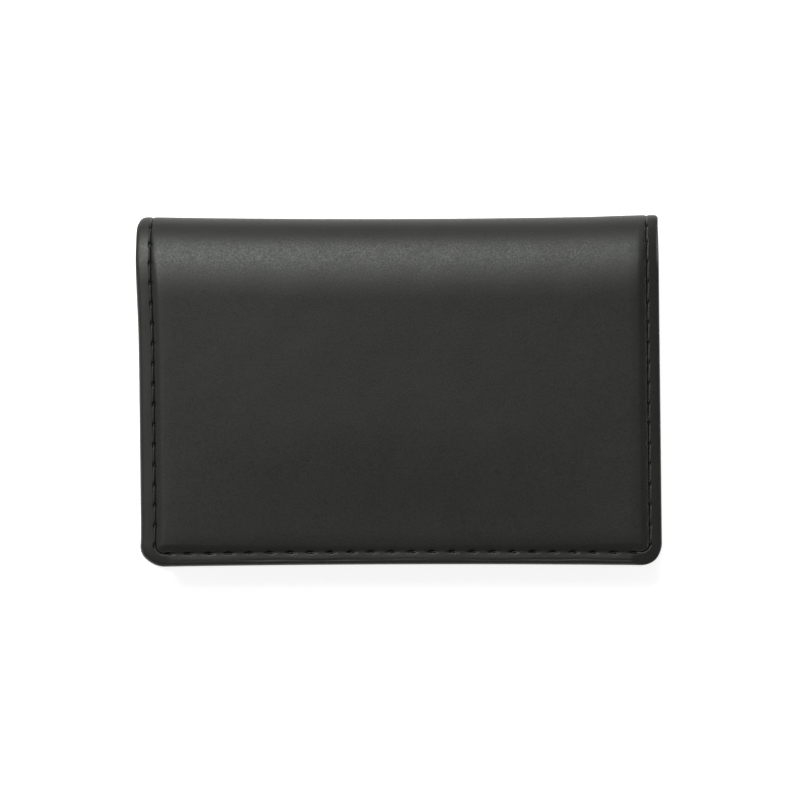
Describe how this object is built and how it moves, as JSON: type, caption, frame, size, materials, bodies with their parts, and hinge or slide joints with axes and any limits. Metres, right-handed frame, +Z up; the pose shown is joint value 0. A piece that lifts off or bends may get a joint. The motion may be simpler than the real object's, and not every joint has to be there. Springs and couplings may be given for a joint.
{
  "type": "business card case",
  "caption": "Folding card case in smooth black leather with padded halves, stitched turned edges, a gusseted card pocket and flat card slots.",
  "frame": {"origin": "middle of the footprint, on the surface that the back half lies on", "axes": "+X along the fold, +Y from the free edges to the fold, +Z up from the back half to the front half"},
  "size_m": [0.104, 0.0698, 0.0131],
  "materials": {
    "cover_leather": "smooth black leather with a fine grain and a soft sheen",
    "inner_leather": "thinner smooth black leather with a matt face",
    "lining": "plain black woven lining",
    "thread": "black bonded sewing thread",
    "foam": "soft dark foam sheet",
    "board": "plain stiff cardboard"
  },
  "bodies": {
    "back_half": {"back_cover_leather": "cover_leather", "back_padding": "foam", "back_board": "board", "back_lining": "lining", "back_seam_thread": "thread", "pocket_seam_margin": "inner_leather", "pocket_gusset_left": "inner_leather", "pocket_gusset_right": "inner_leather"},
    "pocket": {"pocket_panel": "inner_leather", "pocket_mouth_thread": "thread"},
    "spine": {"spine_leather": "cover_leather", "spine_lining": "lining", "spine_thread_left": "thread", "spine_thread_right": "thread"},
    "front_half": {"front_cover_leather": "cover_leather", "front_padding": "foam", "front_board": "board", "front_lining": "lining", "front_seam_thread": "thread", "upper_card_slot": "inner_leather", "lower_card_slot": "inner_leather", "upper_slot_thread": "thread", "lower_slot_thread": "thread"}
  },
  "joints": [
    {"name": "opening", "type": "hinge", "parent": "back_half", "child": "spine", "pos_m": [0, 0.03306, 0.00232], "axis": [-1, 0, 0], "range_deg": [0, 90]},
    {"name": "front_crease", "type": "hinge", "parent": "spine", "child": "front_half", "pos_m": [0, 0.03306, 0.01013], "axis": [-1, 0, 0], "range_deg": [0, 90]},
    {"name": "pocket_press", "type": "hinge", "parent": "back_half", "child": "pocket", "pos_m": [0, -0.0306, 0.00345], "axis": [1, 0, 0], "range_deg": [-4, 0], "stiffness_Nm_per_rad": 0.06, "deforming": ["pocket_gusset_left", "pocket_gusset_right"]}
  ],
  "couplings": [
    {"joint": "front_crease", "follows": "opening", "ratio": 1}
  ]
}
